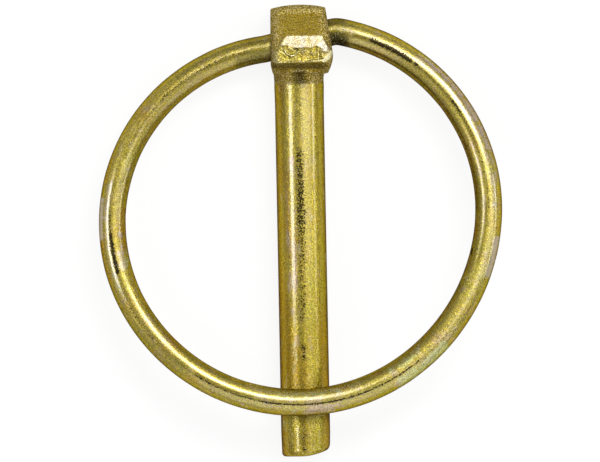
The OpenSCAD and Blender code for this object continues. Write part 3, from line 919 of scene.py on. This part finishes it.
# Marks on the ring's finish: distances along the wire from the right-hand bend and
# heights across it, seen from the front (mm).
RING_MARKS = {
    "scuff_and_dark_reflection": [
        (5.4, 0, 11, 0, 0.34, 0.84), (11.9, 0.05, 12.1, 0.05, 0.24, 0.8),
        (18.6, 0, 20.6, 0, 0.22, 0.6), (21.5, -0.02, 33.6, 0, 0.09, 0.5),
        (0, -1.21, 16.7, -1.24, 0.08, 0.42), (16.7, -1.33, 33.6, -1.5, 0.08, 0.38),
        (42.4, 0.91, 50.3, 0.84, 0.06, 0.6), (39.1, -1.52, 40, -1.52, 0.1, 0.9),
        (50.8, -0.23, 52.2, -0.23, 0.17, 0.45), (55.8, 0.24, 64, 0.26, 0.13, 0.7),
        (64, 0.28, 77, 0.28, 0.13, 0.84), (75, 0.29, 86.2, 0.29, 0.13, 0.6),
        (92.9, 0.41, 100.7, 0.41, 0.21, 0.4), (102.9, 0.2, 107.8, 0.24, 0.31, 0.84),
        (107.8, 0.32, 111.2, 0.34, 0.19, 0.56), (111.2, 0.34, 115.5, 0.34, 0.12, 0.35),
        (126.5, 0.17, 134.3, 0.12, 0.22, 0.38), (134.2, 0.17, 137.1, 0.17, 0.21, 0.5),
        (137.1, 0.17, 141.3, 0.17, 0.14, 0.42),
    ],
    # Some of these strokes lie along the highlights, at the upper right, the bottom and the left,
    # where the paler film also stands in for a painted highlight.
    "bare": [
        (37.3, 1.32, 41.9, 1.32, 0.42, 0.7), (107.5, 1.49, 112.3, 1.49, 0.31, 0.75),
        (103.3, -0.74, 105.2, -0.74, 0.52, 0.45), (101, 0.7, 108, 0.72, 0.26, 0.5),
        (108, 0.72, 114.5, 0.74, 0.3, 0.5), (11, 0.68, 33, 0.74, 0.4, 0.36),
        (59, -0.3, 68, -0.36, 0.4, 0.34), (67.2, -0.24, 78, -0.24, 0.3, 0.36),
        (13, 1.25, 30, 1.25, 0.34, 0.4),
    ],
    "rose": [
        (12.7, 1.32, 26.3, 1.32, 0.4, 0.75), (33.6, -0.54, 35.7, -0.54, 0.15, 0.9),
        (24.4, -0.5, 33.6, -0.5, 0.13, 0.7), (67.6, 1.01, 71.1, 0.89, 0.52, 0.8),
        (105.5, -1.02, 108.6, -1.02, 0.34, 0.6), (126.5, -1.02, 127.9, -1.02, 0.26, 0.5),
        (79.2, 1.25, 79.3, 1.25, 0.19, 0.9), (134.2, 0.89, 135.7, 0.89, 0.19, 0.4),
    ],
    "leaf": [
        (52, 1.13, 59.1, 1.01, 0.59, 0.85), (55.2, -0.66, 59.5, -0.74, 0.54, 0.5),
        (67.1, -0.9, 75, -0.9, 0.34, 0.5), (100.7, 0.72, 103.7, 0.72, 0.28, 0.6),
        (11.5, 1.49, 13.4, 1.49, 0.19, 0.6), (103.3, -1.26, 105.2, -1.38, 0.26, 0.5),
    ],
    "sheen": [
        (1.5, 0.6, 33.6, 0.7, 0.6, 0.45), (64, -0.2, 79, -0.2, 0.6, 0.45),
        (100, 0.7, 116, 0.72, 0.5, 0.45),
    ],
    "frost": [
        (49.5, 0.72, 51.7, 0.72, 0.39, 0.42), (52.4, 0.53, 58.9, 0.46, 0.18, 0.3),
        (131.7, 0.22, 134.1, 0.17, 0.19, 0.3), (64, -1.2, 79, -1.2, 0.35, 0.3),
    ],
    "warm": [
        (58.8, -1.14, 59, -1.14, 0.26, 0.6), (60.8, -1.26, 61.8, -1.26, 0.28, 0.6),
        (65.8, -1.02, 66.5, -1.02, 0.28, 0.6), (54.6, 1.37, 55.8, 1.25, 0.26, 0.7),
        (101.2, 1.49, 106.9, 1.41, 0.39, 0.45), (113.1, 1.37, 117.4, 1.37, 0.39, 0.3),
        (105.7, -1.26, 110.7, -1.26, 0.32, 0.45),
    ],
    # Besides darkening dark scratches near the middle of the wire, the tone strokes paint shade along
    # the inner and outer rims, where the wire goes into the head and over stretches of the highlights,
    # and the one that lightens paints a highlight on the left.
    "shade_and_tone": [
        (-0.6, -0.9, 1.6, -1.2, 1.1, -0.9), (-0.6, 1.2, 1.2, 1.4, 0.45, -0.45),
        (138.5, -1.1, 142.5, -1.2, 0.8, -0.55), (1.6, -1.21, 16.7, -1.24, 0.15, -0.52),
        (16.7, -1.33, 33.6, -1.45, 0.14, -0.45), (88, -0.1, 116, -0.1, 0.8, -0.34),
        (88, 1.3, 118, 1.3, 0.5, -0.18), (112, 0.2, 141, 0.2, 1.6, -0.17),
        (28, -1.1, 42, -1.1, 0.5, -0.26), (24, 0.15, 40, 0.15, 0.8, -0.13),
        (3, 0, 26, -0.05, 0.26, -0.58), (0.5, 0.38, 18, 0.36, 0.2, -0.46),
        (26, 0, 36, 0, 0.24, -0.36), (33, -0.42, 41, -0.42, 0.28, -0.36),
        (44, -1.35, 66, -1.35, 0.34, -0.24), (82, -1.35, 97, -1.35, 0.34, -0.24),
        (78.5, 0.03, 86, 0.03, 0.24, -0.38), (84, 0.9, 130, 0.9, 0.28, 0.28),
        (118, -0.02, 140, -0.04, 0.26, -0.55),
    ],
}


def painted(x, y, front, marks):
    """The usual value of every mark, changed by its strokes on the front of a piece."""
    return {
        name: usual + strokes(x, y, marks.get(name, ())) * front for name, usual in MARKS.items()
    }


def pin_marks(p, s):
    """Marks on the pin's vertices: the strokes, and what the shank, head and nose add to them."""
    values = painted(p[:, 0] / MM, p[:, 1] / MM, p[:, 2] > 0, PIN_MARKS)
    shank_marks(values, p, s)
    head_marks(values, p, s)
    nose_marks(values, p, s)
    return values


def on_head(y, s):
    """1 on the head, and 0 below its foot."""
    return smooth(-0.2 * MM, 0.2 * MM, y - s.neck_len)


def shank_marks(values, p, s):
    """A film that turns to amber on the flanks and towards the tip, but for a band right of the
    middle, and a gloss that is lost towards the tip and rubbed off right of the middle."""
    y = p[:, 1]
    across = 2 * p[:, 0] / s.shank_d
    flank = smooth(0.45, 0.85, np.abs(across))
    band = smooth(0.05, 0.2, across) * (1 - smooth(0.6, 0.75, across))
    lower = 1 - smooth(-30 * MM, -18 * MM, y)
    values["warm"] += 0.17 * flank + 0.3 * lower * (1 - band)
    # Painted shade on the flanks, and a film darker towards the tip.
    values["shade_and_tone"] *= (1 - 0.14 * lower) * (1 - 0.06 * flank * (1 - on_head(y, s)))
    levels = (0.12, 0.2, 1, 1.2, 1.2, 1, 0.9)
    values["sheen"] = np.interp(y / MM, (-44.6, -29, -20.5, -15.4, -9, -1, 3.5), levels)
    rubbed = np.interp(y / MM, (-34, -26, -18, -8, -3), (0, 0.5, 0.6, 0.6, 0))
    values["sheen"] *= 1 - rubbed * smooth(-0.15, 0.05, across)


def head_marks(values, p, s):
    """Frost on the head's borders, the neck and the tip, and a brushed face within the borders."""
    y = p[:, 1]
    head = on_head(y, s)
    crown = smooth(7.1 * MM, 7.9 * MM, y - s.neck_len)
    sides = smooth(0.5, 1.0, np.abs(2 * p[:, 0] / s.shank_d - 0.12) / 1.1)
    neck = forged_skin(y) * (1 - head)
    end = 1 - smooth(-38 * MM, -33 * MM, y)
    frost = 0.24 * end + 0.36 * neck + head * np.maximum(0.38 * sides, 0.42 * crown)
    values["frost"] = frost * np.clip(values["shade_and_tone"], 0, 1) ** 3
    values["brushed"] = 1.2 * head * (1 - sides) * (1 - crown)


def forged_skin(y):
    """1 where the forging's skin is rough, from the neck up, and 0 on the turned shank."""
    return smooth(3.3 * MM, 3.7 * MM, y)


def nose_marks(values, p, s):
    """A matt skin on the forging, and on its nose a pale smooth facet above torn metal, with
    painted highlights on its ridges and painted shade in its grooves."""
    x, y, z = p.T
    rise = y - s.neck_len
    proud = z > s.head_depth / 2 + 0.03 * MM
    nose = proud * (rise > s.nose_lip)
    facet = nose * (rise > ragged_edge(x))
    torn = nose * (1 - facet)
    folds = strokes(x / MM, rise / MM, TORN_MARKS) * proud * (1 - facet)
    values["matt"] = forged_skin(y) * (1 - nose) + 0.3 * facet + 0.35 * torn
    values["sheen"] *= (1 - values["matt"]) * (1 - 0.5 * torn)
    values["warm"] -= 0.4 * torn
    # Painted shade in the torn grooves and painted highlights on the ridges; the facet a little
    # darker.
    values["shade_and_tone"] *= (1 - 0.12 * torn) * (1 - 0.65 * np.maximum(folds, 0)) * (1 - 0.2 * facet)
    values["bright"] += 0.04 * facet + 0.6 * np.maximum(-folds, 0)
    values["bare"] = 0.44 * facet


def ring_marks(run, height, r):
    """Marks on the ring's vertices, row by row and then at both ends: the strokes, and painted
    shade, browner on the inside, along the inner and outer rims of the wire and where it goes
    into the head, with the clear film's gloss lowered under it."""
    turn = turns_round(WIRE_COLUMNS, WIRE_CROWDING)
    across = np.sin(turn)
    along = (run - r.right_straight + r.end_gap / 2) / MM
    front = smooth(-0.2, 0.2, -np.cos(turn))
    grids = painted(along[:, None], height / MM, front, RING_MARKS)
    weight = np.interp(along, (45, 62, 90, 105), (1.2, 0, 0.1, 0.7))[:, None]
    inside = smooth(0.55, 0.9, -across) * weight
    outside = smooth(0.75, 1.0, across)
    left_bend = along[-1] - (r.left_straight - r.end_gap / 2) / MM
    root = smooth(-4, -1, -np.minimum(along, left_bend - along))[:, None]
    # Painted shade along the rims and at both roots, where the wire goes into the head.
    grids["shade_and_tone"] *= (1 - 0.4 * inside) * (1 - 0.2 * outside) * (1 - 0.3 * root)
    grids["warm"] += 0.3 * inside
    grids["sheen"] *= np.clip(grids["shade_and_tone"], 0, 1) ** 1.5
    return {name: np.append(grid.ravel(), [MARKS[name]] * 2) for name, grid in grids.items()}


# ------------------------------------------------------------------- stage

def seen_directly(n):
    """1 for camera, glossy and transmission rays, and 0 for the soft light that the floor gives."""
    path = n.add("LightPath").outputs
    either_ray = n.math("MAXIMUM", path["Is Camera Ray"], path["Is Glossy Ray"])
    return n.math("MAXIMUM", either_ray, path["Is Transmission Ray"])


def make_floor(stage):
    """A pale floor under the lowest point of the object. What is seen of it directly is lifted
    towards white, and it keeps the object's shadow."""
    half, level = stage.floor_size / 2, CAD_LOW[2]
    corners = [(-half, -half, level), (half, -half, level), (half, half, level), (-half, half, level)]
    mesh = bpy.data.meshes.new("floor")
    mesh.from_pydata(corners, [], [(0, 1, 2, 3)])
    floor = placed("floor", mesh)
    material = bpy.data.materials.new("floor_white")
    n = Nodes(material)
    diffuse = n.add("BsdfDiffuse", {"Color": (*stage.floor_colour, 1)})
    lift = n.times(seen_directly(n), stage.floor_lift)
    glow = n.add("Emission", {"Strength": lift})
    total = n.add("AddShader", {0: diffuse.outputs[0], 1: glow.outputs[0]})
    n.add("OutputMaterial", {"Surface": total.outputs[0]})
    mesh.materials.append(material)
    floor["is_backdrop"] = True


def make_world(stage):
    """Soft, even light from all round."""
    world = bpy.data.worlds.new("room")
    bpy.context.scene.world = world
    n = Nodes(world)
    background = n.add("Background", {"Color": (*stage.room_colour, 1)})
    n.add("OutputWorld", {"Surface": background.outputs[0]})


# Softboxes: tilt from straight up and bearing (degrees), width and height (m), and
# brightness. The main one and its bright core stand over the upper right, one stands
# on each side with a strip beyond the right-hand one, and a wide dim one fills from below.
SOFTBOXES = {
    "softbox_main": (33, 26, 0.60, 0.34, 3.2),
    "softbox_core": (34, 28, 0.42, 0.15, 8.5),
    "softbox_left": (44, 281, 0.22, 0.32, 5.4),
    "softbox_right": (29, 84, 0.64, 0.26, 1.6),
    "strip_right": (65, 87, 0.10, 0.40, 5.0),
    "softbox_below": (50, 170, 1.3, 0.8, 0.8),
}


def make_lights(stage):
    """Softboxes that face the object, each at its tilt from straight up and towards its bearing,
    with its width level across the picture. Its power follows from the brightness of its
    surface."""
    for name, (tilt, bearing, width, height, radiance) in SOFTBOXES.items():
        data = bpy.data.lights.new(name, "AREA")
        data.shape = "RECTANGLE"
        data.size = width
        data.size_y = height
        data.energy = radiance * math.pi * width * height
        flat = math.sin(math.radians(tilt)) * heading(math.radians(bearing))
        away = Vector((*flat, math.cos(math.radians(tilt))))
        level = Vector((0, 1, 0)).cross(away).normalized()
        lamp = placed(name, data)
        lamp.location = Vector((0, -stage.light_aim, 0)) + away * stage.light_distance
        lamp.rotation_euler = Matrix((level, away.cross(level), away)).transposed().to_euler()


def make_camera(stage):
    """A long lens straight above the object, turned a little about its line of sight."""
    data = bpy.data.cameras.new("camera")
    data.lens = stage.lens
    distance = stage.view_width * data.lens / data.sensor_width
    data.clip_start = 0.01
    data.clip_end = 10
    camera = placed("camera", data)
    camera.location = (stage.view_centre[0], stage.view_centre[1], distance)
    camera.rotation_euler = (0, 0, -stage.view_turn)
    bpy.context.scene.camera = camera


# ----------------------------------------------------- operators and panel

class LYNCHPIN_OT_pin(bpy.types.Operator):
    """Build the forged pin: shank, neck, head, nose and bore"""

    bl_idname = "lynchpin.pin"
    bl_label = "Forged Pin"

    def execute(self, context):
        scene = context.scene
        s = scene.lynch_pin
        rows = forged_surface(s)
        start = [0, -s.tip_y, 0]
        end = [0, rows[-1, :, 1].mean(), 0]
        along = rows[:, 0, 1]
        solid = tube_mesh("uncut_pin", rows, start, end, along, TAU * s.shank_d / 2)
        mesh = bored(solid, bore_cutter(scene.lynch_ring))
        mesh.name = "pin_skin"
        set_marks(mesh, pin_marks(vertex_places(mesh), s))
        gloss = scene.lynch_shank_gloss
        material = zinc_material("forged_zinc", scene.lynch_finish, gloss, (1, 3, 1))
        add_piece(mesh, HINGE["parent"], PIN_NODE, material)
        return {"FINISHED"}


class LYNCHPIN_OT_ring(bpy.types.Operator):
    """Build the sprung wire ring, closed on the shank"""

    bl_idname = "lynchpin.ring"
    bl_label = "Wire Ring"

    def execute(self, context):
        scene = context.scene
        r = scene.lynch_ring
        rows, start, end, run, height = ring_surface(r, scene.lynch_pin.shank_d)
        mesh = tube_mesh("ring_skin", rows, start, end, run, math.pi * r.wire_d)
        set_marks(mesh, ring_marks(run, height, r))
        gloss = scene.lynch_wire_gloss
        material = zinc_material("wire_zinc", scene.lynch_finish, gloss, (1, 1, 1))
        add_piece(mesh, HINGE["child"], RING_NODE, material)
        return {"FINISHED"}


class LYNCHPIN_OT_stage(bpy.types.Operator):
    """Set up the pale floor, the soft lights and the camera that looks straight down"""

    bl_idname = "lynchpin.stage"
    bl_label = "Stage"

    def execute(self, context):
        stage = context.scene.lynch_stage
        make_floor(stage)
        make_world(stage)
        make_lights(stage)
        make_camera(stage)
        context.scene.view_settings.view_transform = "Standard"
        if context.scene.camera is None:
            raise RuntimeError("the stage has no camera")
        return {"FINISHED"}


class LYNCHPIN_PT_panel(bpy.types.Panel):
    """Buttons and sizes for the lynch pin"""

    bl_idname = "LYNCHPIN_PT_panel"
    bl_label = "Lynch Pin"
    bl_space_type = "VIEW_3D"
    bl_region_type = "UI"
    bl_category = "Lynch Pin"

    def draw(self, context):
        layout = self.layout
        for operator in OPERATORS:
            layout.operator(operator.bl_idname)
        for name, group in GROUPS.items():
            box = layout.box()
            for key in group.__annotations__:
                box.prop(getattr(context.scene, name), key)


OPERATORS = (LYNCHPIN_OT_pin, LYNCHPIN_OT_ring, LYNCHPIN_OT_stage)
GROUPS = {
    "lynch_pin": PinSizes, "lynch_ring": RingSizes, "lynch_finish": Finish,
    "lynch_shank_gloss": ShankGloss, "lynch_wire_gloss": WireGloss, "lynch_stage": Stage,
}


def register():
    for name, group in GROUPS.items():
        bpy.utils.register_class(group)
        setattr(bpy.types.Scene, name, bpy.props.PointerProperty(type=group))
    for kind in (*OPERATORS, LYNCHPIN_PT_panel):
        bpy.utils.register_class(kind)


def unregister():
    for kind in (LYNCHPIN_PT_panel, *reversed(OPERATORS)):
        bpy.utils.unregister_class(kind)
    for name, group in GROUPS.items():
        delattr(bpy.types.Scene, name)
        bpy.utils.unregister_class(group)


def main():
    register()
    bpy.ops.lynchpin.stage()
    bpy.ops.lynchpin.pin()
    bpy.ops.lynchpin.ring()


if __name__ == "__main__":
    main()
